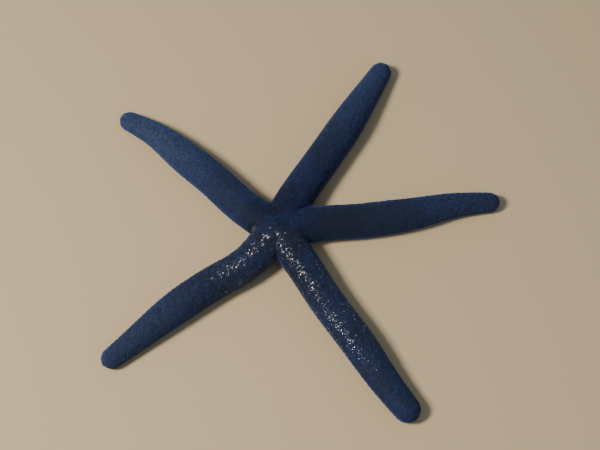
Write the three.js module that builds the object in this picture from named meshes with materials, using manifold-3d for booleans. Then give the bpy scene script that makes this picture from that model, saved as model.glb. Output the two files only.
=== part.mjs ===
// A blue sea star, Linckia laevigata, life size, lying on the floor on five gently bent arms.
// Millimetres, +Z up. The origin is on the floor under the middle of the whole animal.
// The body is modelled whole, then parted by thin cuts into a disc and three lengths of each arm.
// The arms are lettered clockwise from above, starting opposite the sieve plate.

import * as THREE from "three";
import { LoftGeometry } from "three/addons/geometries/LoftGeometry.js";
import { mergeVertices } from "three/addons/utils/BufferGeometryUtils.js";
import Module from "manifold-3d";

const wasm = await Module();
wasm.setup();
const { degToRad, lerp, smoothstep } = THREE.MathUtils;

// length is from the mouth to the nose, and bearings are the arm's directions from +X, in degrees,
// at every fifth of that length. girth is the arm's own share of armWidth and armHeight, noseGirth
// what is left of it at the nose, and taperFrom the share of the length where it starts to narrow.
const arms = [
  { name: "arm_A", length: 131, bearings: [11.5, 8.6, 9, 10.4, 9.6],
    girth: 0.99, noseGirth: 0.56, taperFrom: 0.44 },
  { name: "arm_B", length: 136, bearings: [-55.7, -57.3, -56.8, -57, -56.3],
    girth: 0.95, noseGirth: 0.74, taperFrom: 0.55 },
  { name: "arm_C", length: 125, bearings: [-129.2, -138.3, -139.9, -139.8, -139.7],
    girth: 0.96, noseGirth: 0.58, taperFrom: 0.5 },
  { name: "arm_D", length: 123.5, bearings: [141.4, 137.5, 137.6, 137.6, 139.8],
    girth: 0.98, noseGirth: 0.56, taperFrom: 0.51 },
  { name: "arm_E", length: 134, bearings: [64.5, 61.6, 60.6, 60.7, 60.8],
    girth: 1, noseGirth: 0.6, taperFrom: 0.55 },
];

// An arm's cross-section
const armWidth = 20.6;
const armHeight = 17.4;
const widestLevel = 0.45; // height of the widest level, as a share of the arm's height
const undersidePower = 2.4; // squareness of the lower half, 2 being an ellipse
const undersideDip = 0.05; // share of the height shaved off, which leaves the flats it rests on
const baseFlare = 0.12; // extra width where an arm leaves the disc, as a share
const flareReach = 18; // distance over which that flare dies away
const taperEnd = 1.06; // share of the length where the taper would end

// The disc, which stands clear of the floor like the crown of a low arch
const archHeight = 3;
const archReach = 46; // distance from the mouth where the arms come down to the floor
const domeRadius = 14;
const domeHeight = 18.2;
const webReach = 4.2; // length of each flank that the web of skin in a crotch covers
const webTuck = 0.5; // how far a web's ends lie inside the flanks
const webProbe = 20; // distance from the mouth where a web measures its two arms
const webLowest = degToRad(-55); // a web's levels, as angles round an arm's section
const webHighest = degToRad(70);

// The furrows of the tube feet, and the mouth where they meet
const grooveHalfWidth = 1.9;
const grooveDepth = 3.4;
const grooveShoulder = { across: 0.62, up: 0.72 }; // shares of the half width and the depth
const grooveEnd = 0.955; // shares of the arm's length: where a furrow ends
const grooveRunOut = 0.9; // and where it starts to grow shallow
const mouthRadius = 5;
const mouthDepth = 4.6;
const mouthRoof = 0.7; // radius of the recess's flat roof, as a share of mouthRadius
const membraneThickness = 1.2;
const membraneDish = 0.5;

// The sieve plate, a button in a seat on the slope between arms C and D
const sieveBearing = degToRad(186);
const sieveDistance = 13.6;
const sieveTilt = degToRad(40);
const sieveRadius = 2.4;
const sieveCrown = 0.5;
const sieveSeatDepth = 1.6;
const sieveSeatOpening = 4; // how far the cutter of the seat stands above it

// Cuts between the named pieces
const gap = 0.3;
const discCut = 26; // distance from the mouth to the cut between disc and arm
const lengthCuts = [0.47, 0.75]; // shares of the length where an arm is cut again
const cutSpan = 26;
const cutHeight = 60;

// Fineness
const sectionPoints = 20;
const ringsAlong = 15;
const ringsInNose = 4;
const noseBluntness = 0.35; // of one ring: how far short of a point the nose ends
const grooveSteps = 15;
const webSteps = 7;
const webPoints = 5;
const domeSteps = 8;
const domeSides = 20;
const mouthSides = 20;
const sieveSides = 16;

const hide = new THREE.MeshStandardMaterial({ color: 0x1d3a6b, roughness: 0.42, metalness: 0 });
const tipHide = new THREE.MeshStandardMaterial({ color: 0x24457a, roughness: 0.4, metalness: 0 });
const limestone = new THREE.MeshStandardMaterial({ color: 0x596070, roughness: 0.6, metalness: 0 });
const membrane = new THREE.MeshStandardMaterial({ color: 0xb99f74, roughness: 0.5, metalness: 0 });

const upwards = new THREE.Vector3(0, 0, 1);

function polar(bearing, distance, level = 0) {
  return new THREE.Vector3(distance * Math.cos(bearing), distance * Math.sin(bearing), level);
}

function solidOf(geometry) {
  const bare = new THREE.BufferGeometry();
  bare.setAttribute("position", geometry.attributes.position);
  bare.setIndex(geometry.index);
  const merged = mergeVertices(bare, 1e-4);
  return new wasm.Manifold(new wasm.Mesh({
    numProp: 3,
    vertProperties: new Float32Array(merged.attributes.position.array),
    triVerts: new Uint32Array(merged.index.array),
  }));
}

function geometryOf(solid) {
  const { vertProperties, triVerts } = solid.getMesh();
  const geometry = new THREE.BufferGeometry();
  geometry.setAttribute("position", new THREE.BufferAttribute(new Float32Array(vertProperties), 3));
  geometry.setIndex(new THREE.BufferAttribute(new Uint32Array(triVerts), 1));
  geometry.computeVertexNormals();
  return geometry;
}

function named(name, geometry, material) {
  const mesh = new THREE.Mesh(geometry, material);
  mesh.name = name;
  return mesh;
}

function lofted(rings) {
  return solidOf(new LoftGeometry(rings, { closed: true, capStart: true, capEnd: true }));
}

// A round geometry about +Z from half an outline of [radius, height] pairs, lowest first.
function turned(pairs, sides) {
  const profile = pairs.map(([radius, height]) => new THREE.Vector2(radius, height));
  return new THREE.LatheGeometry(profile, sides).rotateX(0.5 * Math.PI);
}

// The middle line of an arm in plan, from the mouth's centre through its bearings.
function routeOf(arm) {
  const steps = arm.bearings.length;
  const points = arm.bearings.map((bearing, i) => polar(degToRad(bearing), (arm.length * (i + 1)) / steps));
  return new THREE.CatmullRomCurve3([new THREE.Vector3(), ...points]);
}

function archAt(distance) {
  return archHeight * (1 - smoothstep(distance, 0, archReach));
}

function girthAt(arm, share) {
  return arm.girth * lerp(1, arm.noseGirth, smoothstep(share, arm.taperFrom, taperEnd));
}

function halfWidthAt(arm, share) {
  const flare = baseFlare * Math.exp(-(share * arm.length) / flareReach);
  return 0.5 * armWidth * girthAt(arm, share) * (1 + flare);
}

// One point of a cross-section: half an ellipse above the widest level, a flattened one below it.
function outlineAt(angle, halfWidth, height, floorLevel) {
  const power = Math.sin(angle) < 0 ? 2 / undersidePower : 1;
  const across = Math.sign(Math.cos(angle)) * Math.abs(Math.cos(angle)) ** power;
  const upward = Math.sign(Math.sin(angle)) * Math.abs(Math.sin(angle)) ** power;
  const reach = upward < 0 ? widestLevel + undersideDip : 1 - widestLevel;
  const level = Math.max(0, widestLevel + reach * upward);
  return new THREE.Vector2(halfWidth * across, floorLevel + height * level);
}

// Stands a flat outline across an arm's route, its x to the arm's left and its y upwards.
function ringOn(route, share, outline) {
  const centre = route.getPointAt(share);
  const left = new THREE.Vector3().crossVectors(upwards, route.getTangentAt(share)).normalize();
  return outline.map(({ x, y }) => centre.clone().addScaledVector(left, x).setZ(y));
}

function armSolid(arm) {
  const route = routeOf(arm);
  const noseStart = 1 - halfWidthAt(arm, 1) / route.getLength();
  const ringAt = (share, roundness) => {
    const halfWidth = halfWidthAt(arm, share);
    const height = armHeight * girthAt(arm, share);
    const floorLevel = archAt(share * arm.length);
    const level = floorLevel + widestLevel * height;
    const outline = [];
    for (let i = 0; i < sectionPoints; i++) {
      const { x, y } = outlineAt((2 * Math.PI * i) / sectionPoints, halfWidth, height, floorLevel);
      outline.push(new THREE.Vector2(x * roundness, lerp(level, y, roundness)));
    }
    return ringOn(route, share, outline);
  };
  const rings = [];
  for (let i = 0; i <= ringsAlong; i++) rings.push(ringAt((noseStart * i) / ringsAlong, 1));
  for (let i = 1; i <= ringsInNose; i++) {
    const turn = (0.5 * Math.PI * i) / (ringsInNose + noseBluntness);
    rings.push(ringAt(lerp(noseStart, 1, Math.sin(turn)), Math.cos(turn)));
  }
  return lofted(rings);
}

// The web in the crotch of two arms: at every level a fillet that runs into both flanks.
function webSolid(arm, next) {
  const bearingOf = (each) => {
    const { x, y } = routeOf(each).getPointAt(webProbe / each.length);
    return Math.atan2(y, x);
  };
  const leftBearing = bearingOf(arm);
  const rightBearing = bearingOf(next);
  const between = leftBearing - rightBearing;
  const half = 0.5 * (between < 0 ? between + 2 * Math.PI : between);
  const middleBearing = leftBearing - half;
  const fillet = webReach * Math.tan(half);
  const meanOf = (measure) =>
    0.5 * (measure(arm, webProbe / arm.length) + measure(next, webProbe / next.length));
  const height = armHeight * meanOf(girthAt);
  const halfWidth = meanOf(halfWidthAt) - webTuck;
  const rings = [];
  for (let i = 0; i <= webSteps; i++) {
    const angle = lerp(webLowest, webHighest, i / webSteps);
    const reach = (outlineAt(angle, halfWidth, height, 0).x + fillet) / Math.sin(half);
    const level = outlineAt(angle, halfWidth, height, archAt(reach - fillet)).y;
    const foot = reach * Math.cos(half); // where the fillet's centre is square to an arm's middle line
    const ring = [polar(0, 0, level), polar(rightBearing, foot, level)];
    for (let j = 0; j <= webPoints; j++) {
      const turn = middleBearing + lerp(1.5 * Math.PI - half, 0.5 * Math.PI + half, j / webPoints);
      ring.push(polar(middleBearing, reach, level).add(polar(turn, fillet)));
    }
    ring.push(polar(leftBearing, foot, level));
    rings.push(ring);
  }
  return lofted(rings);
}

function domeSolid() {
  const pairs = [[0, archHeight]];
  for (let i = 1; i < domeSteps; i++) {
    const angle = Math.PI * (i / domeSteps - 0.5);
    const { x, y } = outlineAt(angle, domeRadius, domeHeight, archHeight);
    pairs.push([x, y]);
  }
  pairs.push([0, archHeight + domeHeight]);
  return solidOf(turned(pairs, domeSides));
}

// The cutter of an arm's furrow, from inside the mouth to just short of the nose.
function grooveSolid(arm) {
  const route = routeOf(arm);
  const rings = [];
  for (let i = 0; i <= grooveSteps; i++) {
    const share = lerp(0.01, grooveEnd, i / grooveSteps);
    const edge = grooveHalfWidth * girthAt(arm, share);
    const depth = grooveDepth * girthAt(arm, share) * (1 - smoothstep(share, grooveRunOut, 1));
    const sole = archAt(share * arm.length);
    const shoulder = { x: grooveShoulder.across * edge, y: sole + grooveShoulder.up * depth };
    rings.push(ringOn(route, share, [
      { x: edge, y: sole },
      shoulder,
      { x: 0, y: sole + depth },
      { x: -shoulder.x, y: shoulder.y },
      { x: -edge, y: sole },
      { x: -edge, y: sole - grooveDepth },
      { x: edge, y: sole - grooveDepth },
    ]));
  }
  return lofted(rings);
}

function mouthRecess() {
  const roof = archHeight + mouthDepth;
  const haunch = 0.5 * (1 + mouthRoof) * mouthRadius;
  return solidOf(turned([[0, -1], [mouthRadius, -1], [mouthRadius, roof - 0.5 * mouthDepth],
    [haunch, roof - 0.15 * mouthDepth], [mouthRoof * mouthRadius, roof], [0, roof]], mouthSides));
}

// The soft skin round the mouth, a dished disc just under the roof of the recess.
function mouthMembrane() {
  const roof = archHeight + mouthDepth - gap;
  const low = roof - membraneThickness;
  const rim = mouthRoof * mouthRadius - gap;
  return turned([[0, low + membraneDish], [0.25 * rim, low], [0.8 * rim, low],
    [rim, low + 0.3 * membraneThickness], [rim, roof], [0, roof]], mouthSides);
}

// The point of the body's slope that the sieve plate sits on, found by a ray straight down.
function sievePoint(solid) {
  const surface = new THREE.Mesh(geometryOf(solid), hide);
  const ray = new THREE.Raycaster(polar(sieveBearing, sieveDistance, cutHeight), upwards.clone().negate());
  return ray.intersectObject(surface)[0].point;
}

function sieveButton(point, radius, depth, crown) {
  const outwards = polar(sieveBearing, 1);
  const slopeAxis = new THREE.Vector3().crossVectors(upwards, outwards);
  const turn = new THREE.Quaternion().setFromAxisAngle(slopeAxis, sieveTilt);
  const button = turned([[0, -depth], [radius, -depth], [radius, 0], [0.92 * radius, 0.55 * crown],
    [0.6 * radius, 0.9 * crown], [0, crown]], sieveSides);
  return button.applyQuaternion(turn).translate(point.x, point.y, point.z);
}

// A thin upright slab across an arm.
function cutAcross(arm, share) {
  const route = routeOf(arm);
  const centre = route.getPointAt(share);
  const tangent = route.getTangentAt(share);
  const slab = new THREE.BoxGeometry(gap, cutSpan, cutHeight);
  return solidOf(slab.rotateZ(Math.atan2(tangent.y, tangent.x)).translate(centre.x, centre.y, 0));
}

// A piece is named by where its middle lies.
function nameOf(piece) {
  const { min, max } = piece.boundingBox();
  const middle = new THREE.Vector3(min[0] + max[0], min[1] + max[1], 0).multiplyScalar(0.5);
  const distance = middle.length();
  if (distance < 0.5 * discCut) return "disc";
  const offTo = (arm) => middle.angleTo(polar(degToRad(arm.bearings[2]), 1));
  const arm = arms.reduce((nearest, each) => (offTo(each) < offTo(nearest) ? each : nearest));
  const [baseEnd, middleEnd] = lengthCuts.map((share) => share * arm.length);
  return `${arm.name}_${distance < baseEnd ? "base" : distance < middleEnd ? "middle" : "tip"}`;
}

let body = domeSolid();
arms.forEach((arm, i) => {
  body = body.add(armSolid(arm)).add(webSolid(arm, arms[(i + 1) % arms.length]));
});

const seat = sievePoint(body);
body = body.subtract(solidOf(sieveButton(seat, sieveRadius + gap, sieveSeatDepth, sieveSeatOpening)));
body = body.subtract(mouthRecess());
for (const arm of arms) {
  body = body.subtract(grooveSolid(arm));
  for (const share of [discCut / arm.length, ...lengthCuts]) body = body.subtract(cutAcross(arm, share));
}

const star = new THREE.Group();
for (const piece of body.decompose()) {
  const name = nameOf(piece);
  star.add(named(name, geometryOf(piece), name.endsWith("tip") ? tipHide : hide));
}
star.add(named("sieve_plate", sieveButton(seat, sieveRadius, sieveSeatDepth - gap, sieveCrown), limestone));
star.add(named("mouth", mouthMembrane(), membrane));

const extent = new THREE.Box3().setFromObject(star);
const centre = extent.getCenter(new THREE.Vector3());
star.position.set(-centre.x, -centre.y, -extent.min.z);

export default star;
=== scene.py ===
import math

import bpy
import numpy as np
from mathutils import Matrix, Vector, noise
from mathutils.bvhtree import BVHTree
from mathutils.kdtree import KDTree


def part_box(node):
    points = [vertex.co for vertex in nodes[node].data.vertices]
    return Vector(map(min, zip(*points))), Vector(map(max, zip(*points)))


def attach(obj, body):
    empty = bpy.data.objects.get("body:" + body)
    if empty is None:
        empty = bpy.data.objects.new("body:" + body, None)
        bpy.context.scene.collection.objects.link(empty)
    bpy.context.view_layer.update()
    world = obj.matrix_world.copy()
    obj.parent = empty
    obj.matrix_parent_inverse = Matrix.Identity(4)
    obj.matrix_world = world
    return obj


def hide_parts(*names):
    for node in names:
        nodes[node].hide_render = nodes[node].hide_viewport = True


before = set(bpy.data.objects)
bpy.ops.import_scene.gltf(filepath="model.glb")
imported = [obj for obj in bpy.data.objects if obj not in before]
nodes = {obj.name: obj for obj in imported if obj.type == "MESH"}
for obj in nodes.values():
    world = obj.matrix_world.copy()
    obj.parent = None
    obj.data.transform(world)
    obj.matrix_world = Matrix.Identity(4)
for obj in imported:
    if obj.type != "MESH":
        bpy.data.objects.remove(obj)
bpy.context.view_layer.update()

mm = 0.001
armNames = sorted({name.rsplit("_", 1)[0] for name in nodes if name.startswith("arm_")})
partNames = ("base", "middle", "tip")
fleshNodes = ["disc"] + [f"{arm}_{part}" for arm in armNames for part in partNames]
mouthLow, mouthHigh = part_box("mouth")
starCentre = np.array(((mouthLow + mouthHigh) / 2).xy)


def deselectAll():
    if bpy.context.object and bpy.context.object.mode != "OBJECT":
        bpy.ops.object.mode_set(mode="OBJECT")
    bpy.ops.object.select_all(action="DESELECT")


def selectOnly(piece):
    deselectAll()
    piece.select_set(True)
    bpy.context.view_layer.objects.active = piece


def finishWith(piece, kind, **settings):
    selectOnly(piece)
    modifier = piece.modifiers.new(kind.title(), kind)
    for key, value in settings.items():
        setattr(modifier, key, value)
    bpy.ops.object.modifier_apply(modifier=modifier.name)


def pointsOf(piece):
    points = np.empty(len(piece.data.vertices) * 3)
    piece.data.vertices.foreach_get("co", points)
    return points.reshape(-1, 3)


def normalsOf(piece):
    normals = np.empty(len(piece.data.vertices) * 3, np.float32)
    piece.data.vertex_normals.foreach_get("vector", normals)
    return normals.reshape(-1, 3).astype(float)


def setPoints(piece, points):
    piece.data.vertices.foreach_set("co", points.astype(np.float32).ravel())
    piece.data.update()


def setAttribute(piece, name, values):
    attribute = piece.data.attributes.new(name, "FLOAT", "POINT")
    attribute.data.foreach_set("value", np.asarray(values, np.float32))


def smoothStep(value, low, high):
    share = np.clip((value - low) / (high - low), 0, 1)
    return share * share * (3 - 2 * share)


def wrapAngle(angle):
    return (angle + math.pi) % (2 * math.pi) - math.pi


def unitRows(rows):
    return rows / np.maximum(np.linalg.norm(rows, axis=1, keepdims=True), 1e-12)


# Two directions square to each normal and to each other.
def tangentsOf(normals):
    helper = np.where(np.abs(normals[:, 2:]) < 0.9, (0.0, 0.0, 1.0), (1.0, 0.0, 0.0))
    across = unitRows(np.cross(helper, normals))
    return across, np.cross(normals, across)


def surfaceOf(piece):
    return BVHTree.FromObject(piece, bpy.context.evaluated_depsgraph_get())


def treeOf(points):
    tree = KDTree(len(points))
    for number, point in enumerate(points):
        tree.insert(point, number)
    tree.balance()
    return tree


def placePiece(piece, slot, *replaced):
    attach(piece, "root")
    if replaced:
        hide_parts(*replaced)


def setInputs(node, values):
    for name, value in values.items():
        node.inputs[name].default_value = value


def giveMaterial(piece, material):
    piece.data.materials.clear()
    piece.data.materials.append(material)


# A round piece raised ring by ring from an open foot: each ring is a width and a height, the last one capped.
# A rimmed one has its cap split off, so that the cap is shaded as a smooth dome of its own.
def raiseModel(name, sides, rings, crown, rimmed=False):
    deselectAll()
    bpy.ops.mesh.primitive_circle_add(vertices=sides, radius=rings[0][0], location=(0, 0, rings[0][1]))
    model = bpy.context.object
    model.name = name
    bpy.ops.object.transform_apply(location=True, rotation=False, scale=False)
    bpy.ops.object.mode_set(mode="EDIT")
    bpy.ops.mesh.select_all(action="SELECT")
    for (before, low), (width, high) in zip(rings, rings[1:]):
        bpy.ops.mesh.extrude_region_move(TRANSFORM_OT_translate={"value": (0, 0, high - low)})
        bpy.ops.transform.resize(value=(width / before, width / before, 1), center_override=(0, 0, high))
    bpy.ops.mesh.edge_face_add()
    bpy.ops.mesh.poke(offset=crown)
    if rimmed:
        bpy.ops.mesh.split()
    bpy.ops.mesh.select_all(action="SELECT")
    bpy.ops.mesh.normals_make_consistent(inside=False)
    bpy.ops.object.mode_set(mode="OBJECT")
    return model


copyShape = {
    "roundAbove": 0.5,  # the height from which a copy keeps half of its outline's corners
    "patch": 0.0015, "patchTaper": 0.5,  # half the width of a copy's own patch, and what it loses to the top
}


# One mesh with a copy of the model at each spot. A spot has a root, an up, a turn, a height and a lean, and
# an outline of one radius for each side of the model. Each copy has its own small patch of the bake's map.
def repeatModel(name, model, spots, material):
    points = pointsOf(model)
    corners, starts = np.empty(len(model.data.loops), int), np.empty(len(model.data.polygons), int)
    model.data.loops.foreach_get("vertex_index", corners)
    model.data.polygons.foreach_get("loop_start", starts)
    count, sides = spots["outline"].shape
    side = np.rint(np.arctan2(points[:, 1], points[:, 0]) / (2 * math.pi) * sides).astype(int) % sides
    high = np.clip(points[:, 2], 0, None)
    ownRadius = spots["outline"][:, side]
    meanRadius = spots["outline"].mean(1, keepdims=True)
    radius = ownRadius + (meanRadius - ownRadius) * np.minimum(high, copyShape["roundAbove"])
    across, along = tangentsOf(spots["up"])
    turn = spots["turn"][:, None]
    ahead = across * np.cos(turn) + along * np.sin(turn)
    aside = np.cross(spots["up"], ahead)
    alongAhead = points[:, 0] * radius + spots["lean"][:, :1] * high ** 2
    alongAside = points[:, 1] * radius + spots["lean"][:, 1:] * high ** 2
    risen = (spots["up"] * spots["height"][:, None])[:, None] * points[None, :, 2:]
    own = spots["root"][:, None] + risen
    own += ahead[:, None] * alongAhead[:, :, None] + aside[:, None] * alongAside[:, :, None]
    mesh = bpy.data.meshes.new(name)
    mesh.vertices.add(own.size // 3)
    mesh.vertices.foreach_set("co", own.astype(np.float32).ravel())
    corners = (corners[None] + len(points) * np.arange(count)[:, None]).ravel()
    mesh.loops.add(len(corners))
    mesh.loops.foreach_set("vertex_index", corners.astype(np.int32))
    starts = (starts[None] + len(model.data.loops) * np.arange(count)[:, None]).ravel()
    mesh.polygons.add(len(starts))
    mesh.polygons.foreach_set("loop_start", starts.astype(np.int32))
    mesh.polygons.foreach_set("use_smooth", np.ones(len(starts), bool))
    mesh.update(calc_edges=True)
    taper = (1 - copyShape["patchTaper"] * high)[None, :, None]
    patch = spots["unwrap"][:, None] + copyShape["patch"] * points[None, :, :2] * taper
    layer = mesh.uv_layers.new(name="OFBake")
    layer.uv.foreach_set("vector", patch.reshape(-1, 2)[corners].astype(np.float32).ravel())
    piece = bpy.data.objects.new(name, mesh)
    bpy.context.collection.objects.link(piece)
    setAttribute(piece, "rise", np.tile(high, count))
    for key, values in spots["marks"].items():
        setAttribute(piece, key, np.repeat(values, len(points)))
    giveMaterial(piece, material)
    return piece


armMeasure = {
    "inner": 7 * mm, "discTo": 25 * mm, "outer": 27 * mm, "step": 2.5 * mm, "noseClear": 2.5 * mm,
    "furrowSearch": 3.5 * mm, "belowLevel": 9.5 * mm, "blend": (0.25, 0.5, 0.25),
    "widestLevel": 0.45, "levelSpan": 2.2,  # they turn a place's level into an angle round the arm
}


# The ends of a node's edges, with the mouth as the middle, and how far out each end is.
def edgeEnds(node):
    points = pointsOf(node)
    points[:, :2] -= starCentre
    ends = points[np.array([edge.vertices[:] for edge in node.data.edges])]
    return ends, np.hypot(ends[:, :, 0], ends[:, :, 1])


# Where a node's edges pass one distance from the mouth.
def rimAt(ends, reaches, reach):
    crossing = (reaches[:, 0] - reach) * (reaches[:, 1] - reach) < 0
    near, far = reaches[crossing].T
    share = ((reach - near) / (far - near))[:, None]
    return ends[crossing, 0] + share * (ends[crossing, 1] - ends[crossing, 0])


# An arm's middle line and section: by its flanks outside the disc, and by its furrow's roof inside it.
def measureArm(name):
    parts = [edgeEnds(nodes[f"{name}_{part}"]) for part in partNames]
    ends, reaches = (np.concatenate(each) for each in zip(*parts))
    discEnds, discReaches = edgeEnds(nodes["disc"])
    nose = ends.reshape(-1, 3)[reaches.argmax()]
    heading, length = math.atan2(nose[1], nose[0]), reaches.max()
    rows = []
    for reach in np.arange(armMeasure["outer"], length - armMeasure["noseClear"], armMeasure["step"]):
        rim = rimAt(ends, reaches, reach)
        off = wrapAngle(np.arctan2(rim[:, 1], rim[:, 0]) - heading)
        halfWidth, middle = reach * math.sin((off.max() - off.min()) / 2), (off.min() + off.max()) / 2
        rows.append((reach, heading + middle, halfWidth, rim[:, 2].min(), rim[:, 2].max()))
    for reach in np.arange(armMeasure["discTo"], armMeasure["inner"], -armMeasure["step"]):
        rim = rimAt(discEnds, discReaches, reach)
        off = wrapAngle(np.arctan2(rim[:, 1], rim[:, 0]) - rows[0][1])
        middle = np.abs(off) * reach < armMeasure["furrowSearch"]
        rim, off = rim[middle], off[middle]
        roof = off[np.where(rim[:, 2] < armMeasure["belowLevel"], rim[:, 2], -1).argmax()]
        rows.insert(0, (reach, rows[0][1] + roof, rows[0][2], rim[:, 2].min(), rim[:, 2].max()))
    reach, bearing, halfWidth, low, top = np.array(rows).T
    bearing = np.convolve(np.pad(bearing, 1, mode="edge"), armMeasure["blend"], "valid")
    return {"name": name, "length": length, "reaches": reach, "bearings": bearing, "halfWidths": halfWidth,
            "lows": low, "tops": top}


arms = [measureArm(name) for name in armNames]


# Where points lie on the star: the arm, the distance out, the angle round it from the ridge
# (a half turn at the furrow, positive to the left), and how far it is to the next arm's side.
def placeOnArms(points):
    flat = points[:, :2] - starCentre
    reach = np.hypot(*flat.T)
    bearing = np.arctan2(flat[:, 1], flat[:, 0])
    offs = np.array([wrapAngle(bearing - np.interp(reach, arm["reaches"], arm["bearings"])) for arm in arms])
    order = np.argsort(np.abs(offs), axis=0)
    every = np.arange(len(points))
    index = order[0]
    off = offs[index, every]
    side = reach * np.sin(np.clip(off, -math.pi / 2, math.pi / 2))
    crease = reach * (np.abs(offs[order[1], every]) - np.abs(off)) / 2
    halfWidth, low, top, share = (np.empty(len(points)) for _ in range(4))
    for number, arm in enumerate(arms):
        own = index == number
        for values, key in ((halfWidth, "halfWidths"), (low, "lows"), (top, "tops")):
            values[own] = np.interp(reach[own], arm["reaches"], arm[key])
        share[own] = reach[own] / arm["length"]
    level = (points[:, 2] - low) / (top - low)
    around = np.arctan2(side / halfWidth, armMeasure["levelSpan"] * (level - armMeasure["widestLevel"]))
    return {"arm": index, "flat": flat, "reach": reach, "side": side, "crease": crease, "share": share,
            "level": level, "around": around}


# A line of places along an arm, off to one side: flat points, and the arm's left at each.
def lineAlong(arm, reaches, aside):
    bearings = np.interp(reaches, arm["reaches"], arm["bearings"])
    middle = starCentre + reaches[:, None] * np.stack([np.cos(bearings), np.sin(bearings)], 1)
    ahead = unitRows(np.gradient(middle, axis=0))
    left = np.stack([-ahead[:, 1], ahead[:, 0]], 1)
    return middle + aside * left, left


print("arms measured:", ", ".join(f"{arm['name']} {arm['length'] / mm:.1f} mm" for arm in arms))


cameraPlace = {
    "elevation": 62, "distance": 0.85, "lens": 89, "nearest": 0.01, "aim": (13 * mm, 4 * mm, 9 * mm),
}


def makeCamera():
    aim = Vector((*starCentre, 0)) + Vector(cameraPlace["aim"])
    tilt = math.radians(cameraPlace["elevation"])
    back = Vector((0, -math.cos(tilt), math.sin(tilt)))
    bpy.ops.object.camera_add(location=aim + cameraPlace["distance"] * back)
    camera = bpy.context.object
    camera.rotation_euler = (-back).to_track_quat("-Z", "Y").to_euler()
    camera.data.lens = cameraPlace["lens"]
    camera.data.clip_start = cameraPlace["nearest"]
    bpy.context.scene.camera = camera
    return aim


studio = {
    "floorSize": 6, "floorColour": (0.41, 0.302, 0.168), "floorRoughness": 0.85,
    "worldColour": (0.62, 0.78, 1.0), "worldStrength": 0.44,
    "key": {"toward": (-0.60, -0.22, 0.77), "distance": 1.3, "size": 0.3, "power": 28,
            "colour": (1, 0.96, 0.9)},
    "fill": {"toward": (0.72, -0.5, 0.5), "distance": 1.6, "size": 1.4, "power": 3.2,
             "colour": (0.85, 0.92, 1)},
}


def makeStudio(aim):
    bpy.ops.mesh.primitive_plane_add(size=studio["floorSize"])
    floor = bpy.context.object
    floor.name = "floor"
    paint = bpy.data.materials.new("paleFloor")
    paint.use_nodes = True
    shader = paint.node_tree.nodes["Principled BSDF"]
    setInputs(shader, {"Base Color": (*studio["floorColour"], 1), "Roughness": studio["floorRoughness"]})
    giveMaterial(floor, paint)
    for name in ("key", "fill"):
        lamp = studio[name]
        toward = Vector(lamp["toward"]).normalized()
        bpy.ops.object.light_add(type="AREA", location=aim + lamp["distance"] * toward)
        light = bpy.context.object
        light.name = name + "Light"
        light.rotation_euler = (-toward).to_track_quat("-Z", "Y").to_euler()
        light.data.size = lamp["size"]
        light.data.energy = lamp["power"]
        light.data.color = lamp["colour"]
    world = bpy.data.worlds.new("studioSky")
    world.use_nodes = True
    sky = world.node_tree.nodes["Background"]
    setInputs(sky, {"Color": (*studio["worldColour"], 1), "Strength": studio["worldStrength"]})
    bpy.context.scene.world = world


makeStudio(makeCamera())
print("camera, floor and lights placed")


def newMaterial(name, roughness, specular):
    material = bpy.data.materials.new(name)
    material.use_nodes = True
    shader = material.node_tree.nodes["Principled BSDF"]
    setInputs(shader, {"Roughness": roughness, "Specular IOR Level": specular})
    return material, material.node_tree, shader


def addNode(tree, kind, **settings):
    node = tree.nodes.new(kind)
    for key, value in settings.items():
        setattr(node, key, value)
    return node


def objectPlace(tree):
    return addNode(tree, "ShaderNodeTexCoord").outputs["Object"]


def noiseOf(tree, place, size, detail=3, roughness=0.55, distortion=0.0):
    clouds = addNode(tree, "ShaderNodeTexNoise")
    setInputs(clouds, {"Scale": 1 / size, "Detail": detail, "Roughness": roughness, "Distortion": distortion})
    tree.links.new(place, clouds.inputs["Vector"])
    return clouds.outputs["Fac"]


def readAttribute(tree, name):
    return addNode(tree, "ShaderNodeAttribute", attribute_name=name).outputs["Fac"]


def mapRange(tree, value, low, high, toLow=0.0, toHigh=1.0):
    node = addNode(tree, "ShaderNodeMapRange", interpolation_type="SMOOTHSTEP")
    tree.links.new(value, node.inputs["Value"])
    setInputs(node, {"From Min": low, "From Max": high, "To Min": toLow, "To Max": toHigh})
    return node.outputs["Result"]


def fillSocket(tree, socket, value):
    if isinstance(value, tuple):
        socket.default_value = (*value, 1)
    elif isinstance(value, (int, float)):
        socket.default_value = value
    else:
        tree.links.new(value, socket)


def mathOf(tree, operation, first, second):
    node = addNode(tree, "ShaderNodeMath", operation=operation)
    for socket, value in zip(node.inputs, (first, second)):
        fillSocket(tree, socket, value)
    return node.outputs["Value"]


def mixColour(tree, share, first, second):
    node = addNode(tree, "ShaderNodeMix", data_type="RGBA")
    for socket, value in zip((node.inputs[0], node.inputs[6], node.inputs[7]), (share, first, second)):
        fillSocket(tree, socket, value)
    return node.outputs[2]


def brighten(tree, colour, factor):
    node = addNode(tree, "ShaderNodeVectorMath", operation="SCALE")
    tree.links.new(colour, node.inputs[0])
    tree.links.new(factor, node.inputs["Scale"])
    return node.outputs[0]


def addBump(tree, shader, height, distance, strength=1.0):
    bump = addNode(tree, "ShaderNodeBump")
    setInputs(bump, {"Strength": strength, "Distance": distance})
    tree.links.new(height, bump.inputs["Height"])
    tree.links.new(bump.outputs["Normal"], shader.inputs["Normal"])


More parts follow.
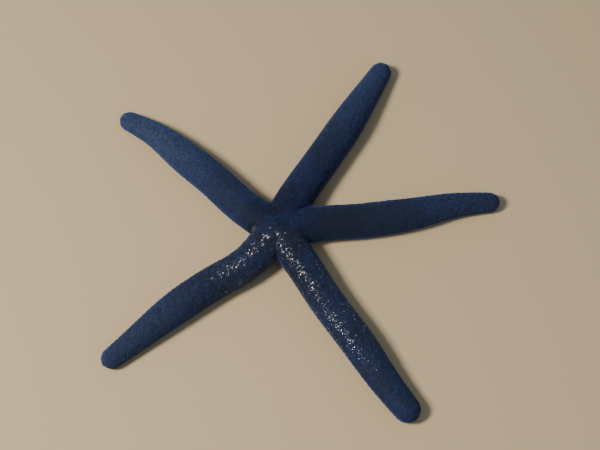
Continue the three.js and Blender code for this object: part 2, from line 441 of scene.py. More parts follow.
hideFinish = {
    "deep": (0.0012, 0.0027, 0.0127), "blue": (0.0026, 0.0077, 0.0385), "mottle": (0.006, 0.0165, 0.054),
    "pore": (0.0014, 0.0026, 0.008), "under": (0.045, 0.062, 0.085), "pale": (0.022, 0.036, 0.082),
    # The last colour on the next line is the grey of a painted reflection.
    "rust": (0.010, 0.0070, 0.0095), "dusk": (0.0036, 0.0058, 0.0135),
    "clouds": (22 * mm, 2), "cloudRange": (0.36, 0.64),  # a noise has a size, a detail and a roughness
    "mottles": (4.2 * mm, 4, 0.62, 0.3), "mottleRange": (0.5, 0.7, 0, 0.65),
    "rustSpots": (9 * mm, 3, 0.6), "rustRange": (0.55, 0.75, 0, 0.08),
    "relief": (0.28 * mm, 3, 0.6), "reliefDepth": 0.05 * mm, "wetRelief": 0.5,
    "paleShare": 0.7, "poreShare": 0.75, "toneRange": (0.6, 1.44), "wetDarker": 0.72,
    "dull": 0.68, "wet": 0.8, "between": 0.9, "specular": 0.25,
    "filmPatches": (6 * mm, 2), "filmRoughness": 0.14, "filmIor": 1.75, "thinFilm": 0.12,
    "velvet": 0.6, "velvetRoughness": 0.3, "velvetTint": (0.12, 0.36, 1.0, 1),
}


# Skin and grains wear the same markings: they read the same attributes and the same place.
# Only the grains can be glossy, the skin that shows between them stays dull.
def hideMaterial(name, glossy):
    material, tree, shader = newMaterial(name, hideFinish["between"], hideFinish["specular"])
    place = objectPlace(tree)
    clouds = mapRange(tree, noiseOf(tree, place, *hideFinish["clouds"]), *hideFinish["cloudRange"])
    colour = mixColour(tree, clouds, hideFinish["deep"], hideFinish["blue"])
    mottles = mapRange(tree, noiseOf(tree, place, *hideFinish["mottles"]), *hideFinish["mottleRange"])
    colour = mixColour(tree, mottles, colour, hideFinish["mottle"])
    rust = mapRange(tree, noiseOf(tree, place, *hideFinish["rustSpots"]), *hideFinish["rustRange"])
    colour = mixColour(tree, rust, colour, hideFinish["rust"])
    # The pale tone is partly the hide's own and partly painted light.
    pale = mathOf(tree, "MULTIPLY", readAttribute(tree, "pale"), hideFinish["paleShare"])
    colour = mixColour(tree, pale, colour, hideFinish["pale"])
    # Painted reflection: a grey cast laid over the inner half of some arms.
    colour = mixColour(tree, readAttribute(tree, "dusk"), colour, hideFinish["dusk"])
    colour = mixColour(tree, readAttribute(tree, "under"), colour, hideFinish["under"])
    # The pore colour marks real pores and also lays painted shade in the creases and between the grains.
    pore = mathOf(tree, "MULTIPLY", readAttribute(tree, "pore"), hideFinish["poreShare"])
    colour = mixColour(tree, pore, colour, hideFinish["pore"])
    tone = mapRange(tree, readAttribute(tree, "grainTone"), 0, 1, *hideFinish["toneRange"])
    soaked = mapRange(tree, readAttribute(tree, "wet"), 0, hideFinish["thinFilm"], 1, hideFinish["wetDarker"])
    colour = brighten(tree, colour, mathOf(tree, "MULTIPLY", tone, soaked))
    tree.links.new(colour, shader.inputs["Base Color"])
    setInputs(shader, {"Sheen Weight": hideFinish["velvet"], "Sheen Tint": hideFinish["velvetTint"],
                       "Sheen Roughness": hideFinish["velvetRoughness"]})
    if glossy:
        dryness = mathOf(tree, "SUBTRACT", 1, readAttribute(tree, "wet"))
        patches = mathOf(tree, "SUBTRACT", noiseOf(tree, place, *hideFinish["filmPatches"]), 0.5)
        dryness = mathOf(tree, "ADD", dryness, patches)
        roughness = mapRange(tree, dryness, 0, 1, hideFinish["wet"], hideFinish["dull"])
        tree.links.new(roughness, shader.inputs["Roughness"])
        tree.links.new(readAttribute(tree, "wet"), shader.inputs["Coat Weight"])
        setInputs(shader, {"Coat Roughness": hideFinish["filmRoughness"], "Coat IOR": hideFinish["filmIor"]})
    relief = noiseOf(tree, place, *hideFinish["relief"])
    addBump(tree, shader, relief, hideFinish["reliefDepth"], hideFinish["wetRelief"] if glossy else 1.0)
    return material


blueHide = hideMaterial("blueHide", True)
hideBetween = hideMaterial("hideBetween", False)


skinShape = {
    "swell": 0.3 * mm,  # closes the cuts between the solids before they are fused
    "weld": 0.005 * mm, "voxel": 0.76 * mm, "smoothing": 20, "lastSmoothing": 2, "smoothFactor": 0.5,
    "coatDepth": 0.16 * mm,  # with what the smoothing takes, the grains' height
    "shadeBetweenGrains": 0.1, "tone": 0.1,  # painted shade on the skin that shows between the grains
}
plateRelief = {
    "spacing": 3.2 * mm, "rowStep": 3.0 * mm, "rowAngles": (84, 112, 138), "rowsFrom": 24 * mm,
    "tipClear": 3 * mm, "backTo": 76, "backLevels": (0.12, 0.4), "flatTop": 0.62,
    "bulge": 0.24 * mm, "sideBulge": 0.35,  # the share of the bulge that the sides have
    "poreDip": 0.14 * mm, "poreNear": 0.12 * mm, "poreFar": 0.75 * mm, "seed": 11,
}
# The creases are darkened with painted shade, as well as sunk.
creaseShape = {
    "depth": 1.0 * mm, "halfWidth": 1.0 * mm, "from": 9 * mm, "full": 17 * mm, "fade": 21 * mm, "to": 26 * mm,
    "paintedShade": 0.6,
}


def fuseFlesh():
    deselectAll()
    for name in fleshNodes:
        copied = bpy.data.objects.new(name + "Copy", nodes[name].data.copy())
        bpy.context.collection.objects.link(copied)
        copied.select_set(True)
        bpy.context.view_layer.objects.active = copied
    bpy.ops.object.join()
    skin = bpy.context.object
    skin.name = skin.data.name = "skin"
    bpy.ops.object.mode_set(mode="EDIT")
    bpy.ops.mesh.select_all(action="SELECT")
    bpy.ops.mesh.remove_doubles(threshold=skinShape["weld"])
    bpy.ops.object.mode_set(mode="OBJECT")
    finishWith(skin, "DISPLACE", strength=skinShape["swell"], mid_level=0)
    finishWith(skin, "REMESH", mode="VOXEL", voxel_size=skinShape["voxel"])
    finishWith(skin, "SMOOTH", factor=skinShape["smoothFactor"], iterations=skinShape["smoothing"])
    finishWith(skin, "DISPLACE", strength=-skinShape["swell"] - skinShape["coatDepth"], mid_level=0)
    finishWith(skin, "SMOOTH", factor=skinShape["smoothFactor"], iterations=skinShape["lastSmoothing"])
    return skin


# Takes each point in turn, unless it is nearer to one already taken than half of their two sizes.
def throwDarts(points, sizes, taken=(), takenSize=0.0):
    cell = float(max(np.max(sizes), takenSize))
    grid = {}
    chosen = []
    around = [(i, j, k) for i in (-1, 0, 1) for j in (-1, 0, 1) for k in (-1, 0, 1)]

    def keyOf(x, y, z):
        return int(x // cell), int(y // cell), int(z // cell)

    def isFree(x, y, z, size, key):
        for i, j, k in around:
            for px, py, pz, other in grid.get((key[0] + i, key[1] + j, key[2] + k), ()):
                if (px - x) ** 2 + (py - y) ** 2 + (pz - z) ** 2 < ((size + other) / 2) ** 2:
                    return False
        return True

    for x, y, z in taken:
        grid.setdefault(keyOf(x, y, z), []).append((x, y, z, takenSize))
    for number, ((x, y, z), size) in enumerate(zip(points.tolist(), np.asarray(sizes).tolist())):
        key = keyOf(x, y, z)
        if isFree(x, y, z, size, key):
            grid.setdefault(key, []).append((x, y, z, size))
            chosen.append(number)
    return np.array(chosen)


# The plates under the hide: rows along the sides of each arm, scattered over its back.
def plateCentres(skin, points, place):
    surface = surfaceOf(skin)
    rows = []
    for arm in arms:
        last = arm["length"] - plateRelief["tipClear"]
        reaches = np.arange(plateRelief["rowsFrom"], last, plateRelief["rowStep"])
        middles, lefts = lineAlong(arm, reaches, 0)
        heights = sum(np.interp(reaches, arm["reaches"], arm[side]) for side in ("lows", "tops")) / 2
        for middle, left, height in zip(middles, lefts, heights):
            for angle in map(math.radians, plateRelief["rowAngles"]):
                for hand in (-1, 1):
                    toward = (*(hand * math.sin(angle) * left), math.cos(angle))
                    hit = surface.ray_cast((*middle, height), toward)[0]
                    if hit:
                        rows.append(hit[:])
    dice = np.random.default_rng(plateRelief["seed"])
    free = dice.permutation(np.flatnonzero(np.abs(place["around"]) < math.radians(plateRelief["backTo"])))
    sizes = np.full(len(free), plateRelief["spacing"])
    scattered = points[free[throwDarts(points[free], sizes, rows, plateRelief["spacing"])]]
    return np.concatenate([rows, scattered])


# Lifts the plates, sinks the pores between them and creases the hide between the arms. Returns the pores'
# dark share with painted shade added in the creases.
def shapeSkin(skin):
    points, normals = pointsOf(skin), normalsOf(skin)
    place = placeOnArms(points)
    plates = treeOf(plateCentres(skin, points, place))
    near = np.array([[distance for _, _, distance in plates.find_n(point, 3)] for point in points])
    cushion = smoothStep((near[:, 1] - near[:, 0]) / (near[:, 1] + near[:, 0]), 0, plateRelief["flatTop"])
    back = smoothStep(place["level"], *plateRelief["backLevels"])
    pore = back * (1 - smoothStep(near[:, 2] - near[:, 0], plateRelief["poreNear"], plateRelief["poreFar"]))
    crease = np.exp(-(place["crease"] / creaseShape["halfWidth"]) ** 2) * back
    crease *= smoothStep(place["reach"], creaseShape["from"], creaseShape["full"])
    crease *= 1 - smoothStep(place["reach"], creaseShape["fade"], creaseShape["to"])
    sideBulge = plateRelief["sideBulge"]
    rise = plateRelief["bulge"] * (cushion - 0.5) * (sideBulge + (1 - sideBulge) * back)
    rise -= plateRelief["poreDip"] * pore + creaseShape["depth"] * crease
    setPoints(skin, points + normals * rise[:, None])
    # The returned share holds real pores and the creases' painted shade.
    return np.clip(pore + creaseShape["paintedShade"] * crease, 0, 1)


armPaleAndPaintedLight = {  # how pale an arm is at its root and at its tip, partly the hide's own tone and partly painted light
    "arm_A": (0.0, 0.55), "arm_B": (0.0, 0.3), "arm_C": (0.15, 0.7), "arm_D": (0.3, 1.3), "arm_E": (0.0, 0.8),
}
armPaintedReflection = {"arm_A": 0.6, "arm_E": 0.25}  # how much painted reflection, a grey cast, lies on the inner half of an arm
wetTo = {"arm_B": 0.8, "arm_C": 0.48}  # the share of the length up to which an arm is still wet
outwardLean = {"arm_C": 0.3}  # where the grains' flat tops slope down towards the tip
markLimits = {  # where each marking begins and ends: reaches, shares of the length or levels
    "onArm": (12 * mm, 30 * mm), "pale": (0.15, 0.9), "dusk": (0.5, 0.8), "under": (0.0, 0.24),
    "offDisc": (3.5 * mm, 7.5 * mm), "wetFull": 0.65, "wetEdge": 0.001,
}


# A value that only some arms have, for each place.
def perArm(values, place):
    return np.array([values.get(arm["name"], 0) for arm in arms])[place["arm"]]


# What the hide's material reads, for any places on it.
def hideMarks(place, pore):
    root, tip = np.array([armPaleAndPaintedLight[arm["name"]] for arm in arms])[place["arm"]].T
    onArm = smoothStep(place["reach"], *markLimits["onArm"])
    wetShare = perArm(wetTo, place)
    dry = smoothStep(place["share"], markLimits["wetFull"] * wetShare, wetShare + markLimits["wetEdge"])
    return {
        "pore": pore,
        "under": 1 - smoothStep(place["level"], *markLimits["under"]),
        # pale is partly painted light; the grey cast below is a painted reflection
        "pale": onArm * (root + (tip - root) * smoothStep(place["share"], *markLimits["pale"])),
        "dusk": perArm(armPaintedReflection, place) * onArm * (1 - smoothStep(place["share"], *markLimits["dusk"])),
        "wet": smoothStep(place["reach"], *markLimits["offDisc"]) * (1 - dry),
    }


def dressPiece(piece, material, slot, *replaced):
    giveMaterial(piece, material)
    selectOnly(piece)
    bpy.ops.object.shade_smooth()
    placePiece(piece, slot, *replaced)


skin = fuseFlesh()
skinPoreAndShade = shapeSkin(skin)
skinPoints = pointsOf(skin)
shadeBetweenGrains = skinShape["shadeBetweenGrains"]
skinMarks = hideMarks(placeOnArms(skinPoints), shadeBetweenGrains + (1 - shadeBetweenGrains) * skinPoreAndShade)
# The skin takes the darkest tone and at least some pore colour: painted shade between the grains.
skinMarks["grainTone"] = np.full(len(skinPoints), skinShape["tone"])
for name, values in skinMarks.items():
    setAttribute(skin, name, values)
dressPiece(skin, hideBetween, "blue_hide", *fleshNodes)
skinSurface = surfaceOf(skin)
print("skin:", len(skin.data.polygons), "faces")


grainShape = {
    "tries": 400000, "large": 0.78 * mm, "poreLimits": (0.1, 0.7), "poreShare": 0.72, "sizeSpread": 0.12,
    "fillShare": 0.55, "small": 0.52 * mm, "tipFrom": 0.8, "tipShare": 0.82, "evening": 2,
    "sides": 7, "neighbours": 11, "gap": 0.02 * mm, "nearest": 0.02 * mm,
    "widest": 1.45, "spare": 0.08 * mm, "farthest": 0.8,
    "wetRings": ((0.99, -0.35), (0.93, 0.5), (0.74, 0.9)), "wetCrown": 0.2,  # widths and heights, as shares
    "backRings": ((0.99, -0.35), (0.86, 0.55), (0.6, 0.9)), "backCrown": 0.07,
    "bellyRings": ((0.99, -0.35), (0.8, 0.62)), "bellyCrown": 0.38,
    "height": 0.25 * mm, "heightSpread": 0.2, "lean": 0.04, "tilt": 0.1,
    "discLean": 0.3, "discLeanTo": (8 * mm, 13 * mm),
    "glossy": 0.95, "filmFall": 5,  # most wet grains have a thin film, few a full one
    "discTo": 25 * mm, "backTo": 100, "innerTo": 0.56,  # where the grains part into pieces
    "seed": 5,
}
bareSpots = {  # where no grains stand
    "sieve": 2.5 * mm, "furrowSide": 2.75 * mm, "furrowLevel": 0.42, "furrowTo": 0.95,
    "mouth": 5.7 * mm, "mouthBelow": 12 * mm, "shield": 1.35 * mm, "shieldLevel": 0.42,
}


# Points spread evenly over the skin, with the skin's normal and pore value, which holds the creases' painted
# shade too, at each.
def skinSamples(count, dice):
    points, normals = pointsOf(skin), normalsOf(skin)
    skin.data.calc_loop_triangles()
    triangles = np.empty(len(skin.data.loop_triangles) * 3, int)
    skin.data.loop_triangles.foreach_get("vertices", triangles)
    triangles = triangles.reshape(-1, 3)
    a, b, c = (points[triangles[:, i]] for i in range(3))
    areas = np.linalg.norm(np.cross(b - a, c - a), axis=1) / 2
    drawn = dice.choice(len(triangles), count, p=areas / areas.sum())
    u, v = dice.random(count), dice.random(count)
    over = u + v > 1
    u[over], v[over] = 1 - u[over], 1 - v[over]
    weights = np.stack([1 - u - v, u, v], 1)[:, :, None]
    corners = triangles[drawn]
    return ((points[corners] * weights).sum(1), unitRows((normals[corners] * weights).sum(1)),
            (skinPoreAndShade[corners] * weights[:, :, 0]).sum(1))


# Where the shields at the arms' tips sit.
def tipPlace(arm):
    heading = (math.cos(arm["bearings"][-1]), math.sin(arm["bearings"][-1]))
    middle = starCentre + arm["length"] * np.array(heading)
    return np.array((*middle, bareSpots["shieldLevel"] * arm["tops"][-1]))


tipPlaces = [tipPlace(arm) for arm in arms]


def bearsGrains(points, place):
    sieveLow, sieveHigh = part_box("sieve_plate")
    sieveMiddle = np.array((sieveLow + sieveHigh) / 2)
    seat = np.linalg.norm(points - sieveMiddle, axis=1) < bareSpots["sieve"]
    furrow = (np.abs(place["side"]) < bareSpots["furrowSide"]) & (place["level"] < bareSpots["furrowLevel"])
    furrow &= place["share"] < bareSpots["furrowTo"]
    mouth = (place["reach"] < bareSpots["mouth"]) & (points[:, 2] < bareSpots["mouthBelow"])
    atTip = np.min([np.linalg.norm(points - tip, axis=1) for tip in tipPlaces], axis=0) < bareSpots["shield"]
    return ~(seat | furrow | mouth | atTip)


# A many-sided outline for each grain, which stops where its neighbours' begin.
def grainOutlines(points, normals, sizes, turn):
    sides = grainShape["sides"]
    tree = treeOf(points)
    near = np.array([[number for _, number, _ in tree.find_n(point, grainShape["neighbours"] + 1)]
                     for point in points])[:, 1:]
    across, along = tangentsOf(normals)
    offset = points[near] - points[:, None]
    flat = np.stack([(offset * across[:, None]).sum(2), (offset * along[:, None]).sum(2)], 2)
    square = (offset ** 2).sum(2)
    portion = sizes[:, None] / (sizes[:, None] + sizes[near])
    radii = np.empty((len(points), sides))
    for side in range(sides):
        angle = turn + side * 2 * math.pi / sides
        toward = flat[:, :, 0] * np.cos(angle)[:, None] + flat[:, :, 1] * np.sin(angle)[:, None]
        radii[:, side] = (square * portion / np.maximum(toward, grainShape["nearest"])).min(1)
    radii = np.minimum(radii, grainShape["widest"] * radii.min(1, keepdims=True) + grainShape["spare"])
    return np.minimum(radii, grainShape["farthest"] * sizes[:, None]) - grainShape["gap"]


# Moves each grain to the middle of its cell, and back onto the skin. The middle of each wedge of the
# cell is two thirds of the way out.
def evenOut(points, normals, outline, turn):
    across, along = tangentsOf(normals)
    angle = turn[:, None] + np.arange(outline.shape[1]) * 2 * math.pi / outline.shape[1]
    weight = outline ** 3 / (outline ** 2).sum(1, keepdims=True) / 1.5
    moved = points + across * (weight * np.cos(angle)).sum(1)[:, None]
    moved += along * (weight * np.sin(angle)).sum(1)[:, None]
    return np.array([skinSurface.find_nearest(point)[0][:] for point in moved])


# Two measures of each place, spread over the bake's map.
def fillMap(first, second):
    spread = [0.02 + 0.96 * (value - value.min()) / (value.max() - value.min()) for value in (first, second)]
    return np.stack(spread, 1)


# The hide unwrapped: the disc laid flat, an arm by the place along it and the place round it.
def unwrapHide(place, label):
    if "Disc" in label:
        return fillMap(place["flat"][:, 0], place["flat"][:, 1])
    around = place["around"] if "Back" in label else wrapAngle(place["around"] + math.pi)
    return fillMap(place["reach"], around)


def pick(rows, own):
    return {key: values[own] for key, values in rows.items()}


def growGrains():
    dice = np.random.default_rng(grainShape["seed"])
    points, normals, pore = skinSamples(grainShape["tries"], dice)
    place = placeOnArms(points)
    keep = bearsGrains(points, place)
    points, normals, pore, place = points[keep], normals[keep], pore[keep], pick(place, keep)
    porous = smoothStep(pore, *grainShape["poreLimits"])
    sizes = grainShape["large"] * (1 - (1 - grainShape["poreShare"]) * porous)
    sizes[int(grainShape["fillShare"] * len(sizes)):] = grainShape["small"]
    sizes *= 1 - (1 - grainShape["tipShare"]) * smoothStep(place["share"], grainShape["tipFrom"], 1.0)
    sizes *= 1 + grainShape["sizeSpread"] * dice.uniform(-1, 1, len(points))
    chosen = throwDarts(points, sizes)
    points, normals, pore, sizes = points[chosen], normals[chosen], pore[chosen], sizes[chosen]
    turn = dice.random(len(points)) * 2 * math.pi
    outline = grainOutlines(points, normals, sizes, turn)
    for _ in range(grainShape["evening"]):
        points = evenOut(points, normals, outline, turn)
        outline = grainOutlines(points, normals, sizes, turn)
    place = placeOnArms(points)
    width = outline.mean(1)
    print("grains:", len(points), "mean radius", round(width.mean() / mm, 3), "mm")
    height = grainShape["height"] * np.sqrt(width / width.mean())
    height *= 1 + grainShape["heightSpread"] * dice.uniform(-1, 1, len(points))
    marks = hideMarks(place, pore)
    outward = perArm(outwardLean, place) * marks["wet"]
    tilt = grainShape["tilt"] * dice.normal(0, 1, points.shape)
    nearDisc = 1 - smoothStep(place["reach"], *grainShape["discLeanTo"])
    tilt[:, 0] -= grainShape["discLean"] * marks["wet"] * nearDisc
    ahead = np.pad(unitRows(place["flat"]), ((0, 0), (0, 1))) * outward[:, None]
    spots = {
        "root": points, "up": unitRows(normals + ahead + tilt),
        "turn": turn, "outline": outline, "height": height,
        "lean": grainShape["lean"] * width[:, None] * dice.normal(0, 1, (len(points), 2)),
    }
    marks["grainTone"] = dice.random(len(points))
    soaked = dice.random(len(points)) < grainShape["glossy"] * marks["wet"]
    thinFilm = hideFinish["thinFilm"]
    marks["wet"] = soaked * (thinFilm + (1 - thinFilm) * dice.random(len(points)) ** grainShape["filmFall"])
    back = raiseModel("backGrain", grainShape["sides"], grainShape["backRings"], grainShape["backCrown"])
    belly = raiseModel("bellyGrain", grainShape["sides"], grainShape["bellyRings"], grainShape["bellyCrown"])
    flat = raiseModel(
        "flatGrain", grainShape["sides"], grainShape["wetRings"], grainShape["wetCrown"], rimmed=True)
    onDisc = place["reach"] < grainShape["discTo"]
    onBack = np.abs(place["around"]) < math.radians(grainShape["backTo"])
    inner = place["share"] < grainShape["innerTo"]
    groups = {"DiscBack": onDisc & onBack, "DiscBelly": onDisc & ~onBack}
    for number, arm in enumerate(arms):
        own, letter = (place["arm"] == number) & ~onDisc, arm["name"][-1]
        groups[f"Arm{letter}BackInner"] = own & onBack & inner
        groups[f"Arm{letter}BackOuter"] = own & onBack & ~inner
        groups[f"Arm{letter}Belly"] = own & ~onBack
    for label, own in groups.items():
        model = belly if "Belly" in label else flat if marks["wet"][own].any() else back
        part = pick(spots, own)
        part["marks"] = pick(marks, own)
        part["unwrap"] = unwrapHide(pick(place, own), label)
        placePiece(repeatModel(f"grains{label}", model, part, blueHide), "blue_hide")
    for model in (back, belly, flat):
        bpy.data.objects.remove(model)


growGrains()


# A finish between two colours by an attribute, unevenly stained; the attribute lays painted shade in grooves
# and folds.
def stainedMaterial(name, attribute, shape):
    material, tree, shader = newMaterial(name, shape["roughness"], shape["specular"])
    place = objectPlace(tree)
    colour = mixColour(tree, readAttribute(tree, attribute), *shape["colours"])
    stain = mapRange(tree, noiseOf(tree, place, *shape["stains"]), *shape["stainRange"])
    tree.links.new(brighten(tree, colour, stain), shader.inputs["Base Color"])
    addBump(tree, shader, noiseOf(tree, place, *shape["relief"]), shape["reliefDepth"])
    return material


# A flattened ball to be shaped, and its points with the share of the radius and the turn of each.
def flattenBall(name, shape, radius, thickness):
    deselectAll()
    bpy.ops.mesh.primitive_uv_sphere_add(
        segments=shape["segments"], ring_count=shape["rings"], radius=radius)
    piece = bpy.context.object
    piece.name = piece.data.name = name
    bpy.ops.object.mode_set(mode="EDIT")
    bpy.ops.transform.resize(value=(1, 1, thickness / radius), center_override=(0, 0, 0))
    bpy.ops.object.mode_set(mode="OBJECT")
    points = pointsOf(piece)
    reach = np.hypot(points[:, 0], points[:, 1]) / radius
    return piece, points, reach, np.arctan2(points[:, 1], points[:, 0])


sieveShape = {
    "segments": 144, "rings": 72, "thickness": 0.8 * mm, "sunk": 0.42 * mm,
    "grooves": 17, "grooveDepth": 0.13 * mm, "grooveEdge": (0.0, 0.75), "rim": (0.93, 1.0),
    "wander": 2.6, "weave": 0.55 * mm, "weaveSlice": 3.7, "core": (0.25, 0.6), "coreWeave": 2.2,
    "colours": ((0.026, 0.029, 0.034), (0.004, 0.004, 0.006)),  # of a ridge and of a groove; the groove's dark colour is painted shade
    "roughness": 0.7, "specular": 0.2, "stains": (1.6 * mm, 3), "stainRange": (0.3, 0.7, 0.65, 1.3),
    "relief": (0.15 * mm, 3, 0.6), "reliefDepth": 0.03 * mm,
}


# The sieve plate: a low dome with winding grooves that run out to its rim.
def makeSievePlate():
    node = pointsOf(nodes["sieve_plate"])
    middle = (node.max(0) + node.min(0)) / 2
    axis = np.linalg.svd(node - node.mean(0), full_matrices=False)[2][2]
    axis *= math.copysign(1, axis[2])
    across, along = tangentsOf(axis[None])
    out = node - middle - np.outer((node - middle) @ axis, axis)
    radius = np.linalg.norm(out, axis=1).max()
    top = ((node - middle) @ axis).max()
    plate, points, reach, turn = flattenBall("sievePlate", sieveShape, radius, sieveShape["thickness"])
    threads = points[:, :2] / sieveShape["weave"]
    weave = np.array([noise.noise((*thread, sieveShape["weaveSlice"])) for thread in threads])
    radial = np.sin(sieveShape["grooves"] * turn + sieveShape["wander"] * weave)
    core = 1 - smoothStep(reach, *sieveShape["core"])
    winding = (1 - core) * radial + core * sieveShape["coreWeave"] * weave
    groove = smoothStep(winding, *sieveShape["grooveEdge"]) * (1 - smoothStep(reach, *sieveShape["rim"]))
    points[:, 2] -= sieveShape["grooveDepth"] * groove * (points[:, 2] > 0)
    points[:, 2] += top - sieveShape["sunk"] - sieveShape["thickness"]
    setPoints(plate, middle + points[:, :1] * across + points[:, 1:2] * along + points[:, 2:] * axis)
    # The groove attribute darkens the grooves with painted shade.
    setAttribute(plate, "groove", groove)
    dressPiece(plate, stainedMaterial("sieveStone", "groove", sieveShape), "sieve_plate", "sieve_plate")


makeSievePlate()
print("sieve plate set")


mouthShape = {
    "segments": 120, "rings": 48, "folds": 25, "foldDepth": 0.16 * mm, "foldFrom": (0.08, 0.3),
    "foldTo": (0.85, 1.0), "waver": 1.3, "waves": 3, "funnel": (0.1, 0.3), "funnelDepth": 0.7 * mm,
    "colours": ((0.17, 0.115, 0.085), (0.05, 0.03, 0.028)),  # of the skin and deep in a fold; the dark colour is painted shade in the folds and the mouth's funnel
    "roughness": 0.32, "specular": 0.4, "stains": (0.8 * mm, 4), "stainRange": (0.3, 0.7, 0.7, 1.25),
    "relief": (0.2 * mm, 3, 0.6), "reliefDepth": 0.03 * mm,
}


# The skin round the mouth: a soft disc, gathered in folds towards its opening.
def makeMouthSkin():
    low, high = np.array(mouthLow), np.array(mouthHigh)
    radius, thickness = (high - low)[0] / 2, (high - low)[2] / 2
    mouth, points, reach, turn = flattenBall("mouthSkin", mouthShape, radius, thickness)
    below = points[:, 2] < 0
    waver = mouthShape["waver"] * np.sin(mouthShape["waves"] * turn)
    gather = np.sin(mouthShape["folds"] * turn + waver) * smoothStep(reach, *mouthShape["foldFrom"])
    gather *= 1 - smoothStep(reach, *mouthShape["foldTo"])
    funnel = 1 - smoothStep(reach, *mouthShape["funnel"])
    points[:, 2] += below * (mouthShape["foldDepth"] * gather + mouthShape["funnelDepth"] * funnel)
    setPoints(mouth, points + (low + high) / 2)
    # The fold attribute darkens the folds and the funnel with painted shade.
    setAttribute(mouth, "fold", below * np.clip(0.5 + 0.5 * gather + funnel, 0, 1))
    dressPiece(mouth, stainedMaterial("mouthSkin", "fold", mouthShape), "mouth_skin", "mouth")


makeMouthSkin()
print("mouth skin set")


stemFinish = {
    "specular": 0.4, "riseRange": (0.35, 0.95), "clouds": (5 * mm, 3), "cloudRange": (0.3, 0.7, 0.75, 1.2),
    "toneRange": (0.75, 1.2), "reliefDetail": (3, 0.6), "reliefDepth": 0.04 * mm, "reliefStrength": 0.7,
}
stemPaints = {  # the colours at the root and at the tip, the roughness and the size of the relief
    "pegPaint": ((0.05, 0.075, 0.11), (0.14, 0.135, 0.12), 0.5, 0.2 * mm),
    # The feet are darker at the root: painted shade under the body.
    "footPaint": ((0.30, 0.20, 0.10), (0.42, 0.34, 0.22), 0.3, 0.3 * mm),
    "spotPaint": ((0.16, 0.012, 0.008), (0.16, 0.012, 0.008), 0.35, 0.2 * mm),
}


# A two-colour finish that runs from a small piece's root to its tip.
def stemMaterial(name, rootColour, tipColour, roughness, reliefSize):
    material, tree, shader = newMaterial(name, roughness, stemFinish["specular"])
    place = objectPlace(tree)
    share = mapRange(tree, readAttribute(tree, "rise"), *stemFinish["riseRange"])
    colour = mixColour(tree, share, rootColour, tipColour)
    cloud = mapRange(tree, noiseOf(tree, place, *stemFinish["clouds"]), *stemFinish["cloudRange"])
    tone = mapRange(tree, readAttribute(tree, "grainTone"), 0, 1, *stemFinish["toneRange"])
    colour = brighten(tree, colour, mathOf(tree, "MULTIPLY", cloud, tone))
    tree.links.new(colour, shader.inputs["Base Color"])
    relief = noiseOf(tree, place, reliefSize, *stemFinish["reliefDetail"])
    addBump(tree, shader, relief, stemFinish["reliefDepth"], stemFinish["reliefStrength"])
    return material


pegPaint, footPaint, spotPaint = (stemMaterial(name, *values) for name, values in stemPaints.items())

pegShape = {
    "sides": 8, "rings": ((0.8, -0.3), (0.85, 0.1), (1.0, 0.62), (0.72, 0.92)), "crown": 0.08,
    "from": 6.2 * mm, "toShare": 0.93, "step": 0.74 * mm, "radius": 0.3 * mm, "length": 1.05 * mm,
    "onWall": 1.2 * mm, "inward": 0.5, "waver": 0.08, "within": 2.9 * mm, "seed": 21,
}
rimShape = {
    "sides": 8, "rings": ((0.95, -0.4), (1.0, 0.3), (0.78, 0.82)), "crown": 0.12,
    "from": 6.2 * mm, "toShare": 0.94, "step": 0.9 * mm, "aside": 2.35 * mm, "radius": 0.4 * mm,
    "length": 0.55 * mm, "shortest": 0.1 * mm, "outward": 0.1, "waver": 0.05,
    "below": 1 * mm, "within": 6 * mm, "seed": 22,
}
footShape = {
    "sides": 8, "rings": ((0.95, -0.05), (0.8, 0.3), (0.62, 0.72), (0.55, 0.86), (1.0, 0.94), (0.92, 1.0)),
    "crown": -0.02, "from": 6.2 * mm, "toShare": 0.93, "step": 1.3 * mm, "aside": 0.78 * mm,
    "radius": 0.4 * mm, "longest": 4.4 * mm, "shortening": 0.22, "bend": 0.3 * mm, "outward": 0.1,
    "above": 0.6 * mm, "within": 6 * mm, "seed": 23,
}
furrowWalk = {"stagger": 0.25, "wander": 0.12, "radiusSpread": 0.1}  # the first two are shares of a step
floorGap = 0.12 * mm
rimGap = 0.3 * floorGap
downwards = np.array((0, 0, -1.0))


# Stands a copy of a shape's model at each root, and places them as one piece.
def plantCopies(name, shape, roots, ups, lengths, dice, material, slot, **marks):
    count = len(roots)
    turn = dice.random(count) * 2 * math.pi
    radius = shape["radius"] * (1 + furrowWalk["radiusSpread"] * dice.uniform(-1, 1, (count, 1)))
    spots = {
        "root": roots, "up": ups, "turn": turn, "height": lengths,
        "outline": np.repeat(radius, shape["sides"], 1),
        "lean": shape.get("bend", 0) * dice.uniform(-1, 1, (count, 2)),
        "marks": {"grainTone": dice.random(count), **marks},
        "unwrap": fillMap(roots[:, 0], roots[:, 1]),
    }
    model = raiseModel(name + "Model", shape["sides"], shape["rings"], shape["crown"])
    placePiece(repeatModel(name, model, spots, material), slot)
    bpy.data.objects.remove(model)
    print(name + ":", count)


